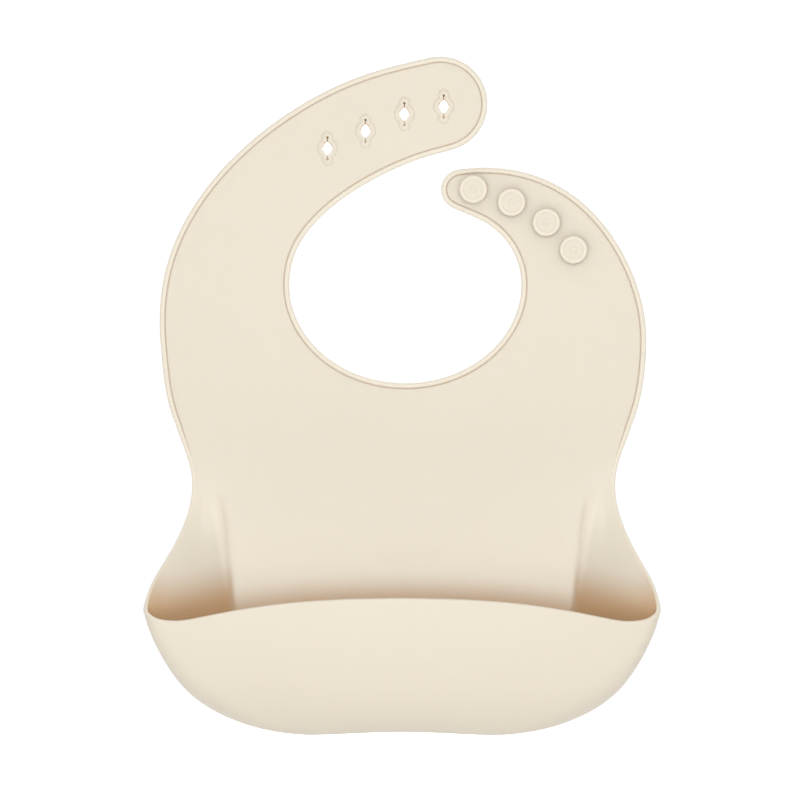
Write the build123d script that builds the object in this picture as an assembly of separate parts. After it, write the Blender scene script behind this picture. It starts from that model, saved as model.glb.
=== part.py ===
from build123d import *
import math
import os

# A baby's silicone bib: a flat chest panel with two neck straps above it and a
# scoop-shaped catch pocket below it.  Millimetres, +Z up, the wearer behind the
# sheet (+Y) and the pocket in front of it (-Y).  The origin is the centre line of
# the bib at the height of the neck opening's centre, on the back face of the sheet.

# --- driving dimensions -----------------------------------------------------------
SHEET = 2.0          # thickness of the moulded silicone sheet
RIM_WIDTH = 2.3      # width of the raised bead round the edges
RIM_RAISE = 0.7      # height of that bead above the front face
INSET_SPAN = 9.0     # spacing of the points that carry the bead's inner edge
FLEX_GAP = 0.2       # slit that parts two sections of the moulding at a flex line
FAR = 300.0          # longer than the bib, for cutting tools
THROUGH = 40.0       # thicker than the sheet, for cutting blades

NECK_X = 0.8         # neck opening: the lower half is half an ellipse
NECK_HALF_WIDTH = 51.9
NECK_DEPTH = 44.0

HOLE_TIP = (16.4, 80.9)      # centre of the round end of the strap with the holes
HOLE_TIP_RADIUS = 21.1
HOLE_TIP_ARC = (102.0, 10.0, -73.0)      # its start, middle and end, degrees from +X
BUTTON_TIP = (25.8, 42.6)    # centre of the round end of the strap with the buttons
BUTTON_TIP_RADIUS = 9.0
BUTTON_TIP_ARC = (245.0, 170.0, 98.0)

# Flex lines: straight lines across the sheet where its sections bend.
HOLE_STRAP_ANGLE = 185.0     # ray from the neck centre, degrees from +X
HOLE_CURL_ANGLE = 140.0
BUTTON_STRAP_ANGLE = -5.0
WAIST_Z = -84.0
# A point near the middle of each section of the flat panel, as (x, z).
SECTION_MIDDLES = {
    "chest_panel": (0, -65),
    "hole_strap_shoulder": (-85, 20),
    "hole_strap_end": (-20, 70),
    "button_strap": (75, 25),
}

# Outer edge of the flat panel, waist to strap end, as (x, z).
WAIST_EDGE = [(94.8, -89.0), (98.5, -71.6), (105.1, -53.3), (108.1, -34.0)]
HOLE_SIDE_EDGE = [(-109.2, -17.0), (-106.0, 8.5), (-96.0, 31.8), (-77.4, 55.7),
                  (-50.0, 77.8), (-20.1, 92.9)]
BUTTON_SIDE_EDGE = [(108.3, -20.0), (103.8, 1.0), (93.0, 22.0), (76.5, 39.4), (54.3, 50.1)]
# Edge of the neck opening above its lower half, as (x, z).
HOLE_SIDE_NECK = [(-48.8, 13.4), (-38.0, 29.4), (-22.8, 41.6), (-5.6, 51.1), (10.0, 57.2)]
BUTTON_SIDE_NECK = [(49.3, 14.4), (37.4, 27.4)]

# Button holes and buttons, as (x, z).
HOLE_CENTRES = [(-34.0, 61.0), (-17.0, 68.8), (0.4, 76.3), (18.0, 79.7)]
HOLE_WIDTH = 4.5
HOLE_HEIGHT = 6.2
SLIT_WIDTH = 0.4
SLIT_REACH = 4.85            # centre of the hole to the relief hole at a slit's end
RELIEF_RADIUS = 0.5
BOSS_RADIUS = 4.4
BOSS_LOBE_RADIUS = 2.35
BOSS_LOBE_OFFSET = 5.05
BOSS_RAISE = 0.5

BUTTON_CENTRES = [(31.2, 42.5), (48.3, 36.7), (63.8, 27.7), (75.9, 15.5)]
BUTTON_RADIUS = 6.25
BUTTON_THICKNESS = 1.9
BUTTON_EDGE = 0.6            # rounding of the button's edge
STEM_RADIUS = 2.4
STEM_LENGTH = 2.6            # clear stem between the sheet and the button
FLANGE_RADIUS = 4.4          # back flange, let in flush with the sheet's back face
FLANGE_THICKNESS = 0.8

# Side gussets, waist to mouth: height, crease half width, edge half width, edge depth.
GUSSET_LEVELS = [
    (-84.0, 82.9, 95.2, 0.3),
    (-100.0, 81.3, 96.2, 4.1),
    (-115.0, 79.7, 101.6, 12.7),
    (-130.0, 78.2, 108.6, 25.8),
    (-144.0, 76.8, 113.0, 42.3),
]
CREASE_BEVEL = 0.5           # slant of the cut edges where a gusset meets the flat back
# Pocket bowl, mouth to floor: height, back half width, corner half width,
# back depth, corner depth, depth of the front wall at its middle.
BOWL_LEVELS = [
    (-136.0, 77.0, 113.0, 0.0, 44.0, 51.5),
    (-147.0, 76.5, 113.0, 0.0, 44.0, 51.5),
    (-160.0, 73.0, 108.0, 0.0, 42.5, 50.5),
    (-176.0, 66.0, 98.0, 0.0, 39.0, 47.5),
    (-188.0, 56.0, 84.0, 2.0, 33.5, 42.0),
    (-195.5, 44.0, 66.5, 6.0, 28.0, 34.5),
    (-199.0, 34.0, 46.0, 12.0, 20.0, 24.0),
]
# Shift of the bowl's inner corners for each unit of wall: inwards, and along the depth.
BACK_CORNER_SHIFT = (0.5, 1.0)
FRONT_CORNER_SHIFT = (1.2, 0.8)
MOUTH_Z = -144.0
CORNER_BACK_Y = -40.0        # the corners' side walls reach the front wall from here
POCKET_HINGE_Y = -24.0       # depth of the line along which the pocket's front flexes
LIP_EDGE = [(-113.0, -144.0), (-104.0, -148.5), (-77.0, -143.8), (-46.0, -139.2), (0.0, -137.8)]


def heading(degrees):
    """Unit vector in the sheet's plane, at an angle from +X."""
    return (math.cos(math.radians(degrees)), math.sin(math.radians(degrees)))


def point_on(centre, radius, degrees):
    """Point of a circle, at an angle from +X."""
    along = heading(degrees)
    return (centre[0] + radius * along[0], centre[1] + radius * along[1])


def mirrored(points):
    """The same points on the other side of the bib's centre line."""
    return [(-x, z) for x, z in points]


def sheet_solid(face, depth=SHEET, start=0.0):
    """Extrude a face forwards by a depth, from a start in front of the sheet's back."""
    return extrude(Plane.XZ.offset(start) * face, depth)


def through_sheet(face):
    """Tool that cuts a face right through the sheet and the pads on it."""
    return sheet_solid(face, THROUGH, -THROUGH / 2)


# --- flat panel: chest and straps -----------------------------------------------------
def panel_face():
    """Chest and both straps as one flat face, run on a little below the waist."""
    hole_tip = [point_on(HOLE_TIP, HOLE_TIP_RADIUS, angle) for angle in HOLE_TIP_ARC]
    button_tip = [point_on(BUTTON_TIP, BUTTON_TIP_RADIUS, angle) for angle in BUTTON_TIP_ARC]
    neck_left = (NECK_X - NECK_HALF_WIDTH, 0.0)
    neck_right = (NECK_X + NECK_HALF_WIDTH, 0.0)
    up, down = heading(90), heading(-90)
    # Both round ends are run clockwise, a quarter turn back from their radius.
    hole_tip_start, hole_tip_end = heading(HOLE_TIP_ARC[0] - 90), heading(HOLE_TIP_ARC[-1] - 90)
    button_tip_start = heading(BUTTON_TIP_ARC[0] - 90)
    against_button_tip_end = heading(BUTTON_TIP_ARC[-1] + 90)
    edges = [
        Line(WAIST_EDGE[0], mirrored(WAIST_EDGE)[0]),
        Spline(*mirrored(WAIST_EDGE), *HOLE_SIDE_EDGE, hole_tip[0],
               tangents=[up, hole_tip_start]),
        ThreePointArc(*hole_tip),
        Spline(hole_tip[-1], *reversed(HOLE_SIDE_NECK), neck_left,
               tangents=[hole_tip_end, down]),
        EllipticalCenterArc((NECK_X, 0), NECK_HALF_WIDTH, NECK_DEPTH, 180, arc_size=180),
        Spline(neck_right, *BUTTON_SIDE_NECK, button_tip[0],
               tangents=[up, button_tip_start]),
        ThreePointArc(*button_tip),
        Spline(*WAIST_EDGE, *BUTTON_SIDE_EDGE, button_tip[-1],
               tangents=[up, against_button_tip_end]),
    ]
    return make_face(Wire(Curve() + edges))


def inset_face(face, inset):
    """A face's outline moved inwards, with each edge made again as a smooth curve."""
    outline = offset(face, -inset).faces()[0].outer_wire()
    edges = []
    for edge in outline.edges():
        spans = 2 + int(edge.length // INSET_SPAN)
        points = [edge.position_at(step / spans) for step in range(spans + 1)]
        edges.append(Spline(*points, tangents=[edge.tangent_at(0), edge.tangent_at(1)]))
    return make_face(Wire(edges))


def boss_face():
    """Raised pad round a button hole: a disc with a lobe above and below."""
    lobes = [Pos(0, side * BOSS_LOBE_OFFSET) * Circle(BOSS_LOBE_RADIUS) for side in (-1, 1)]
    return Circle(BOSS_RADIUS) + lobes


def hole_face():
    """Button hole: a diamond with a slit and a round relief hole above and below."""
    half_width, half_height = HOLE_WIDTH / 2, HOLE_HEIGHT / 2
    diamond = make_face(Polyline((half_width, 0), (0, half_height), (-half_width, 0),
                                 (0, -half_height), close=True))
    opening = diamond + Rectangle(SLIT_WIDTH, 2 * SLIT_REACH)
    for side in (-1, 1):
        opening += Pos(0, side * SLIT_REACH) * Circle(RELIEF_RADIUS)
    return opening


def flex_slit(degrees):
    """Thin cutting blade along a ray from the neck's centre, through the sheet."""
    blade = Box(FAR, THROUGH, FLEX_GAP, align=(Align.MIN, Align.CENTER, Align.CENTER))
    return Pos(NECK_X, 0, 0) * Rot(0, -degrees, 0) * blade


def panel_sections():
    """Cut the flat panel into its flexing sections, keyed by node name."""
    face = panel_face()
    panel = sheet_solid(face, SHEET + RIM_RAISE)
    panel -= sheet_solid(inset_face(face, RIM_WIDTH), RIM_RAISE + SHEET, SHEET)
    for x, z in HOLE_CENTRES:
        panel += sheet_solid(Pos(x, z) * boss_face(), BOSS_RAISE, SHEET)
        panel -= through_sheet(Pos(x, z) * hole_face())
    for x, z in BUTTON_CENTRES:
        panel -= through_sheet(Pos(x, z) * Circle(STEM_RADIUS))
        panel -= sheet_solid(Pos(x, z) * Circle(FLANGE_RADIUS), FLANGE_THICKNESS)
    for degrees in (HOLE_STRAP_ANGLE, HOLE_CURL_ANGLE, BUTTON_STRAP_ANGLE):
        panel -= flex_slit(degrees)
    below_waist = Pos(0, 0, WAIST_Z + FLEX_GAP / 2) * Box(
        FAR, THROUGH, FAR, align=(Align.CENTER, Align.CENTER, Align.MAX))
    pieces = (panel - below_waist).solids()
    sections = {}
    for name, (x, z) in SECTION_MIDDLES.items():
        middle = Vector(x, -SHEET / 2, z)
        sections[name] = Part() + min(pieces, key=lambda piece: (piece.center() - middle).length)
    return sections


def button_stud(x, z):
    """Round button on a stem that runs through the strap to a flange on its back."""
    face_depth = SHEET + STEM_LENGTH
    head = extrude(Plane.XZ.offset(face_depth) * Circle(BUTTON_RADIUS), BUTTON_THICKNESS)
    head = fillet(head.edges().filter_by(GeomType.CIRCLE), BUTTON_EDGE)
    stem = extrude(Plane.XZ * Circle(STEM_RADIUS), face_depth)
    flange = extrude(Plane.XZ * Circle(FLANGE_RADIUS), FLANGE_THICKNESS)
    return Pos(x, 0, z) * (head + stem + flange)


# --- pocket ---------------------------------------------------------------------------
def pocket_back():
    """Flat back of the pocket, between the two gussets, waist to mouth."""
    profile = [(half, z) for z, half, _, _ in GUSSET_LEVELS]
    profile[0] = (profile[0][0], WAIST_Z - FLEX_GAP / 2)
    profile[-1] = (profile[-1][0], MOUTH_Z)
    right = [(x - FLEX_GAP / 2 - CREASE_BEVEL, z) for x, z in profile]
    corners = right + [(-x, z) for x, z in reversed(right)]
    return sheet_solid(make_face(Polyline(*corners, close=True)))


def gusset(side):
    """Side panel that turns forwards from the flat back to the pocket's corner."""
    sections = []
    for z, crease, edge, depth in GUSSET_LEVELS:
        level = min(z, WAIST_Z - FLEX_GAP / 2)
        run = Vector(edge - crease, -depth - SHEET)
        across = Vector(run.Y, -run.X).normalized() * SHEET
        inner = [(crease - CREASE_BEVEL, -SHEET), (edge + across.X / 2, -depth - SHEET)]
        outer = [(edge, -depth), (crease + FLEX_GAP / 2, 0.0)]
        corners = [(side * x, y) for x, y in inner + outer]
        sections.append(Plane.XY.offset(level) * make_face(Polyline(*corners, close=True)))
    return loft(sections, ruled=True)


def bowl_section(level, inset):
    """Plan of the pocket at one height; inset moves it inside the wall."""
    z, back, corner, back_depth, corner_depth, front_depth = level
    back_right = (back - BACK_CORNER_SHIFT[0] * inset, -back_depth - BACK_CORNER_SHIFT[1] * inset)
    corner_right = (corner - FRONT_CORNER_SHIFT[0] * inset,
                    -corner_depth + FRONT_CORNER_SHIFT[1] * inset)
    back_left, corner_left = mirrored([back_right, corner_right])
    front = (0, -front_depth + inset)
    outline = Curve() + [
        Line(back_left, back_right),
        Line(back_right, corner_right),
        ThreePointArc(corner_right, front, corner_left),
        Line(corner_left, back_left),
    ]
    return Plane.XY.offset(z) * make_face(Wire(outline))


def bowl():
    """Whole lower pocket as one shell, before it is cut at the lip and the flex line."""
    outer = loft([bowl_section(level, 0.0) for level in BOWL_LEVELS], ruled=True)
    inner_levels = [(level[0] + (SHEET if level is BOWL_LEVELS[-1] else 0), *level[1:])
                    for level in BOWL_LEVELS]
    inner = loft([bowl_section(level, SHEET) for level in inner_levels], ruled=True)
    return outer - inner


def above_lip():
    """Everything over the front wall's lip, seen from the front."""
    right = mirrored(reversed(LIP_EDGE[:-1]))
    edge = Spline(*LIP_EDGE, *right)
    top_left, top_right = (LIP_EDGE[0][0], 0.0), (right[-1][0], 0.0)
    outline = Curve() + [
        edge,
        Line(right[-1], top_right),
        Line(top_right, top_left),
        Line(top_left, LIP_EDGE[0]),
    ]
    return extrude(Plane.XZ.offset(-CORNER_BACK_Y) * make_face(Wire(outline)), FAR)


def pocket_floor(shell):
    """Back half of the bowl: lower back wall, floor and the roots of the sides."""
    keep = Pos(0, POCKET_HINGE_Y + FLEX_GAP / 2, MOUTH_Z - FLEX_GAP) * Box(
        FAR, FAR, FAR, align=(Align.CENTER, Align.MIN, Align.MAX))
    return shell & keep


def pocket_front(shell):
    """Front half of the bowl: front wall, corners and lip."""
    keep = Pos(0, POCKET_HINGE_Y - FLEX_GAP / 2, 0) * Box(
        FAR, FAR, FAR * 2, align=(Align.CENTER, Align.MAX, Align.CENTER))
    above_sides = Pos(0, CORNER_BACK_Y, MOUTH_Z - FLEX_GAP) * Box(
        FAR, FAR, FAR, align=(Align.CENTER, Align.MIN, Align.MIN))
    return (shell & keep) - above_lip() - above_sides


# --- assembly -------------------------------------------------------------------------
def build_nodes():
    """Every sub-part of the bib, keyed by node name."""
    nodes = panel_sections()
    for number, (x, z) in enumerate(BUTTON_CENTRES, start=1):
        nodes[f"button_stud_{number}"] = button_stud(x, z)
    shell = bowl()
    nodes["pocket_back"] = pocket_back()
    nodes["pocket_side_left"] = gusset(-1)
    nodes["pocket_side_right"] = gusset(1)
    nodes["pocket_floor"] = pocket_floor(shell)
    nodes["pocket_front"] = pocket_front(shell)
    return nodes


def main():
    os.makedirs("parts", exist_ok=True)
    for name, shape in build_nodes().items():
        export_step(shape, f"parts/{name}.step")


main()
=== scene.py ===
import math

import bpy
import numpy as np
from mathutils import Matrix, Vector
from mathutils.geometry import delaunay_2d_cdt


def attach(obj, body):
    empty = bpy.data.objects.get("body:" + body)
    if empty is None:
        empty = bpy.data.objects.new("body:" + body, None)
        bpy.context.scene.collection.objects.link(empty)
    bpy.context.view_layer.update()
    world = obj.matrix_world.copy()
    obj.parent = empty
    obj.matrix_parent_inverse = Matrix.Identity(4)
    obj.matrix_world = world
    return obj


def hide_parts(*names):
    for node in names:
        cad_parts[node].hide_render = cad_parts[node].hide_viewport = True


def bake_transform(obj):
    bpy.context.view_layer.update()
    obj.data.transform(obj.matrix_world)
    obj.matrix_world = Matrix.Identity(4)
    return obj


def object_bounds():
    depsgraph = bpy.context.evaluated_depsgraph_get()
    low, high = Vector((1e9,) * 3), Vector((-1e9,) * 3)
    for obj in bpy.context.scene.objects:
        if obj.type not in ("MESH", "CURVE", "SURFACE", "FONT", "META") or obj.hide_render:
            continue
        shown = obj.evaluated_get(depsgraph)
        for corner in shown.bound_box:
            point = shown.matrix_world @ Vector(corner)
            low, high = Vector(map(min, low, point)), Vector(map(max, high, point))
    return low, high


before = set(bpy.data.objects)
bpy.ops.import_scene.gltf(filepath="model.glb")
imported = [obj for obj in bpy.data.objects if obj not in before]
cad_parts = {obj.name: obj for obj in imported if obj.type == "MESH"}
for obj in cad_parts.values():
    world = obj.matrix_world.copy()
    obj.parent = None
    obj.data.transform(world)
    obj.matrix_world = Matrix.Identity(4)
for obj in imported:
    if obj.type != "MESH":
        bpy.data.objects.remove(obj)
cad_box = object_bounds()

# A baby's silicone bib.  The whole moulding is drawn once, as the middle surface of its 2 mm sheet,
# then thickened, given its rounded rim, and parted into the pieces that take the place of the CAD
# parts.  Sizes are in millimetres until a mesh is made.
MM = 0.001

# --- sizes of the sheet and its rim -----------------------------------------------------
HALF_SHEET = 1.0
RIM_BAND = 3.4               # width of the band that carries the bead and its groove
LIP_BAND = 2.4               # the same band where the edge is plain, down the pocket
BEAD_FADE = (-56.0, -86.0)   # heights between which the bead turns into a plain edge

# Section of the rim from its edge inwards: distance, plain height, what the bead
# adds in front, and depth behind, all measured from the middle of the sheet.
RIM_SECTION = [
    (0.00, 0.15, 0.20, -0.15),
    (0.10, 0.55, 0.25, 0.30),
    (0.35, 0.84, 0.38, 0.68),
    (0.70, 0.97, 0.48, 0.92),
    (1.20, 1.00, 0.53, 1.00),
    (1.75, 1.00, 0.51, 1.00),
    (2.05, 1.00, 0.42, 1.00),
    (2.22, 1.00, 0.18, 1.00),
    (2.34, 1.00, -0.20, 1.00),
    (2.48, 1.00, -0.30, 1.00),
    (2.62, 1.00, -0.20, 1.00),
    (2.82, 1.00, -0.03, 1.00),
    (3.10, 1.00, 0.00, 1.00),
]
BEAD_WIDTH = 2.2             # the bead itself, outside its groove

# --- outline of the flat panel, as (x, z) -----------------------------------------------
NECK_X = 0.8
NECK_HALF_WIDTH = 51.9
NECK_DEPTH = 44.0
HOLE_TIP = (16.4, 80.9)
HOLE_TIP_RADIUS = 21.1
HOLE_TIP_ARC = (102, -73)    # angles where the strap's round end starts and stops
BUTTON_TIP = (25.8, 42.6)
BUTTON_TIP_RADIUS = 9.0
BUTTON_TIP_ARC = (245, 98)
WAIST_EDGE = [(94.6, -86.5), (98.6, -71.8), (105.1, -53.3), (108.1, -34.0)]
HOLE_SIDE_EDGE = [(-109.2, -17.0), (-106.0, 8.5), (-96.0, 31.8), (-77.4, 55.7),
                  (-50.0, 77.8), (-20.1, 92.9)]
BUTTON_SIDE_EDGE = [(108.3, -20.0), (103.8, 1.0), (93.0, 22.0), (76.5, 39.4), (54.3, 50.1)]
HOLE_SIDE_NECK = [(-48.8, 13.4), (-38.0, 29.4), (-22.8, 41.6), (-5.6, 51.1), (10.0, 57.2)]
BUTTON_SIDE_NECK = [(49.3, 14.4), (37.4, 27.4)]
SIDE_EDGE_START = (60.0, -30.0)      # the right side's edge is beyond this x, below this z

# --- mesh of the flat panel -------------------------------------------------------------
OUTLINE_STEP = 1.5
GRID_STEP = 2.5
GRID_CLEARANCE = 1.5         # least distance from a grid point to a drawn outline,
FEATURE_CLEARANCE = 1.2      # and to a button hole's pad or a stud's flange
JOIN_Z = -62.0               # below this height the panel is part of the pocket's grid
SHOULDER_SEAM = 197          # angles of the seams between pieces, from the neck's centre
CURL_SEAM = 161
BUTTON_SEAM = -17
SEAM_REACH = (40.0, 130.0)
SEAM_POINTS = 22
STRAPS_APART_Z = 55.0        # above this height there is only the strap with the holes

# --- button holes and buttons, as (x, z) ------------------------------------------------
HOLE_CENTRES = [(-34.0, 61.0), (-17.0, 68.8), (0.4, 76.3), (18.0, 79.7)]
HOLE_HALF_WIDTH = 2.3
HOLE_HALF_HEIGHT = 3.15
HOLE_POWER = 1.35            # between a diamond (1) and an ellipse (2)
HOLE_BORDERS = (0.25, 0.40)  # ring round the opening, shaded above its middle
HOLE_BORDER_STRETCH = 1.5    # how much wider the ring is at the opening's points
HOLE_BORDER_SHADE = 0.6
HOLE_BORDER_REACH = 1.18     # size of the shaded ring against the opening's own
HOLE_BORDER_RISE = 0.3       # height above the opening's middle where the shade begins
SLIT_HALF_WIDTH = 0.17       # scored line from the opening to each relief dot
SLIT_ROOT = 0.8              # how far the line starts inside the opening's tip
RELIEF_OFFSET = 4.85
RELIEF_RADIUS = 0.55
SCORE_DEPTHS = {1: 1.7, -1: 0.7}     # of the line and dot above and below the opening
SCORE_SHADES = {1: 1.0, -1: 0.45}
SCORE_WALL = (0.35, 1.0)     # shares of the line's half width where its wall is
DOT_WALL = (0.7, 1.0)        # shares of the dot's radius where its wall is
BOSS_RADIUS = 4.4
BOSS_LOBE_RADIUS = 2.35
BOSS_LOBE_OFFSET = 5.05
# Edge of the pad round a button hole: distance inwards from its outline, height.
BOSS_SECTION = [(-0.60, 0.0), (-0.22, 0.03), (0.0, 0.20), (0.22, 0.42), (0.60, 0.50)]
BUTTON_CENTRES = [(31.2, 42.5), (48.3, 36.7), (63.8, 27.7), (75.9, 15.5)]
STEM_RADIUS = 2.4
FLANGE_RADIUS = 4.4
FLANGE_THICKNESS = 0.8
FLANGE_GAP = 0.12
FLANGE_STEPS = (0, 1, 4)     # mesh rings outside the flange, in gaps

# --- pocket -----------------------------------------------------------------------------
FLARE_TOP = -80.0            # height where the sides begin to turn forwards
FLARE_BOTTOM = -144.0
FLARE_DEPTH = 45.0           # how far forward the sides have come at the mouth
CREASE_TOP_Z = -84.0
CREASE_TOP = 82.9            # half width between the two creases at that height
CREASE_SLOPE = 0.102         # how much narrower it gets for each unit of height
SIDE_EDGE = [(113.6, -143.0), (111.3, -132.2), (105.6, -122.1), (98.8, -108.5), (95.1, -96.0)]
RIDGE_FADE = (-86.0, -106.0)
RIDGE_END = (-150.0, -172.0)
RIDGE = [(0.8, 1.2), (3.2, 2.0), (8.0, 1.0)]   # distance from the crease, height
RIDGE_LIMITS = (0.14, 0.32, 0.52)    # largest shares of the side's width for them
BACK_SHARES = (0, 0.2, 0.4, 0.6, 0.78, 0.91)   # columns of the back, to the crease
CREASE_MARGIN = 2.2          # the back's last column, short of the crease
SIDE_SHARES = (0.33, 0.62, 0.84)     # columns from the ridge to the side's edge
LEAST_SIDE = 4.0             # the side is at least this wide at its top
EDGE_PROBE = 0.5             # distance up and down the edge for finding its direction
OPEN_ROWS = [-62.0, -65.5, -70.0, -75.5, -81.0, -87.0, -93.0, -99.0, -104.0, -110.0,
             -116.0, -122.0, -128.0, -133.5, -138.8]
WAIST_SEAM_Z = -104.0
# Rows of the bowl's middle surface: height, crease half width, widest half width,
# back depth, front depth at the corner, front depth at the middle, corner radius.
BOWL_ROWS = [
    (-143.5, 76.8, 112.3, 1.0, 47.6, 50.4, 3.6),
    (-150.0, 75.8, 111.0, 1.0, 47.4, 50.2, 4.4),
    (-159.0, 73.4, 107.4, 1.0, 46.8, 49.6, 6.0),
    (-168.0, 69.8, 102.8, 1.1, 45.7, 48.4, 8.0),
    (-176.0, 65.5, 97.7, 1.5, 44.0, 46.6, 10.0),
    (-182.5, 61.0, 91.5, 2.6, 41.8, 44.2, 12.0),
    (-188.0, 56.0, 83.8, 4.6, 38.8, 41.0, 13.0),
    (-192.5, 50.5, 74.8, 7.4, 35.6, 37.6, 12.3),
    (-195.9, 44.5, 64.8, 10.6, 32.2, 33.8, 10.2),
    (-198.1, 38.0, 53.4, 14.0, 29.0, 30.2, 7.3),
    (-198.9, 31.0, 41.4, 17.8, 26.0, 26.8, 4.0),
]
LIP = [(0.0, -137.8), (25.0, -138.3), (46.0, -139.6), (62.0, -141.6), (77.0, -144.0),
       (90.0, -146.6), (99.0, -148.2), (104.0, -148.6), (108.0, -147.4)]
EVEN_FADE = (-166.0, -190.0)  # the creases melt into the floor between these heights
FLOOR_WAVE = 1.5             # the floor's middle is this much higher than its two ends
FLOOR_WAVE_HALF_WIDTH = 45.0
FLOOR_WAVE_FADE = (-184.0, -197.0)
LIP_FOLLOW_STEP = 0.25       # how much less each row of the bowl follows the lip
CORNER_END = -87             # angle where the corner's arc runs into the front wall
EDGE_COLUMN = 13             # columns from the middle of the back to the side's edge,
APEX_COLUMN = 15             # to the corner's outermost point,
FRONT_COLUMN = 17            # to the start of the front wall,
LAST_COLUMN = 30             # and to the middle of the front wall

# The silicone is painted with light and shade: paler for a painted highlight on the bead and the ridge
# and for painted light on the pocket's back, sides and inside, and warmer and deeper for painted shade
# in the pocket, along its crease and in the rim's groove.  Pairs say where each change starts and is
# complete: heights, or rises above the front wall's lip.
BEAD_GLOW = 0.2
BACK_GLOW = 0.6
BACK_GLOW_HEIGHTS = (-62.0, -126.0)
INSIDE_GLOW_RISES = (2.0, -18.0)
RIDGE_GLOW = 0.5
# Distances from the crease where the ridge's glow starts, is full, begins to fade, is gone.
RIDGE_GLOW_REACH = (0.9, 1.8, 4.2, 7.5)
SIDE_GLOW = 0.15
BACK_SHADE = 0.62
BACK_SHADE_RISES = (10.0, -4.0)
SIDE_SHADE = 0.85
SIDE_SHADE_RISES = (23.0, 0.0)
DEEP_SHADE = 0.32            # what is left of the shade down inside the pocket
DEEP_RISES = (-3.0, -34.0)
SIDE_START = (75.0, 79.0)    # half widths between which the back gives way to the sides
CREASE_SHADE = 0.45
CREASE_SHADE_WIDTH = 1.4
CREASE_HEIGHTS = (-92.0, -112.0)
GROOVE_SHADE = 0.25
GROOVE_LEVEL = -0.1          # the groove is where the bead adds less than this
LIP_SHADE_FADE = (0.9, 1.6)  # how far in from the rim's edge the pocket's shade begins

PIECES = ["chest", "pocket", "hole_strap_shoulder", "hole_strap", "button_strap"]
CHEST, POCKET, SHOULDER, HOLE_STRAP, BUTTON_STRAP = range(len(PIECES))
CRISP_ANGLE = 42             # edges sharper than this stay crisp, in degrees

# --- lines across which the silicone bends ----------------------------------------------
WAIST_BEND = (-84.0, -100.0)         # heights
POCKET_BEND = (-14.0, -40.0)         # depths
# Angle from the neck's centre, distance out along it, and length of each strap's bend.
SHOULDER_BEND = (185, 80, 22)
CURL_BEND = (140, 70, 16)
BUTTON_BEND = (-5, 80, 15)

# --- silicone's colours and texture -----------------------------------------------------
CREAM = (0.505, 0.459, 0.380)
CREAM_CLOUD = (0.491, 0.446, 0.368)
CREAM_ROUGHNESS = 0.46
BUTTON_CREAM = (0.50, 0.454, 0.376)
BUTTON_CLOUD = (0.488, 0.443, 0.366)
BUTTON_ROUGHNESS = 0.42
# Colours mixed in by the painted light (pale) and painted shade (deep) layers.
PALE = (0.70, 0.645, 0.545)
DEEP = (0.38, 0.21, 0.085)
CLOUD_NOISE = (14.0, 3.0)            # scale per metre and detail
WEAR_NOISE = (160.0, 4.0)
GRAIN_NOISE = (2600.0, 2.0)
WEAR_RANGE = (-0.05, 0.07)           # added to the roughness
GRAIN_HEIGHT = 0.00003               # metres

# --- studio, in metres and watts --------------------------------------------------------
FLOOR_HALF_SIZE = 6.0
FLOOR_ROWS = 24
FLOOR_GAP = 0.06             # between the bib's lowest point and the floor
FLOOR_COLOUR = (0.95, 0.95, 0.95)
WORLD_STRENGTH = 1.06
# Name, place, aim, width and power of each light.
LIGHTS = [
    ("key", (0.14, -0.80, 0.14), (0, 0, -0.05), 0.25, 1.8),
    ("front", (-0.10, -0.80, -0.04), (0, 0, -0.06), 0.30, 1.75),
    ("rear", (0.10, 0.90, 0.20), (0, 0, -0.05), 0.50, 4.5),
]
CAMERA_DISTANCE = 2.0
CAMERA_AIM = (-0.0016, -0.0515)      # x and z of the middle of the picture
CAMERA_TURN = 1.1                    # degrees round the bib, towards its +X side
PICTURE_WIDTH = 0.358                # at the bib
SENSOR_WIDTH = 36.0                  # millimetres


# --- curves -----------------------------------------------------------------------------
def heading(degrees):
    """Unit vector in the panel's plane, at an angle from +X."""
    return np.array([math.cos(math.radians(degrees)), math.sin(math.radians(degrees))])


def fade(value, start, end):
    """Smooth step from 0 at start to 1 at end."""
    share = np.clip((value - start) / (end - start), 0.0, 1.0)
    return share * share * (3 - 2 * share)


def mirrored(points):
    return [(-x, z) for x, z in points]


def arc(centre, radius, first, last, step=4.0):
    """Points of a circle between two angles in degrees."""
    angles = np.linspace(first, last, 2 + int(abs(last - first) / step))
    return np.array([np.array(centre) + radius * heading(angle) for angle in angles])


def smooth_through(points, first, last, step=0.5):
    """Fine points of a curvature-continuous curve, from its points and end directions."""
    points = np.array(points, float)
    gaps = np.linalg.norm(np.diff(points, axis=0), axis=1)
    system = np.eye(len(points))
    slopes = np.zeros_like(points)
    slopes[0], slopes[-1] = first, last
    for k in range(1, len(points) - 1):
        before, after = 1 / gaps[k - 1], 1 / gaps[k]
        system[k, k - 1:k + 2] = before, 2 * (before + after), after
        slopes[k] = 3 * ((points[k] - points[k - 1]) * before**2
                         + (points[k + 1] - points[k]) * after**2)
    slopes = np.linalg.solve(system, slopes)
    curve = []
    for k, gap in enumerate(gaps):
        for t in np.arange(0, 1, step / gap):
            curve.append((2 * t**3 - 3 * t**2 + 1) * points[k]
                         + (t**3 - 2 * t**2 + t) * gap * slopes[k]
                         + (3 * t**2 - 2 * t**3) * points[k + 1]
                         + (t**3 - t**2) * gap * slopes[k + 1])
    return np.array([*curve, points[-1]])


def resampled(path, count):
    """The same path as count points, evenly spaced along it."""
    gaps = np.linalg.norm(np.diff(path, axis=0), axis=1)
    along = np.concatenate([[0.0], np.cumsum(gaps)])
    places = np.linspace(0, along[-1], count)
    return np.column_stack([np.interp(places, along, axis) for axis in path.T])


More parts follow.
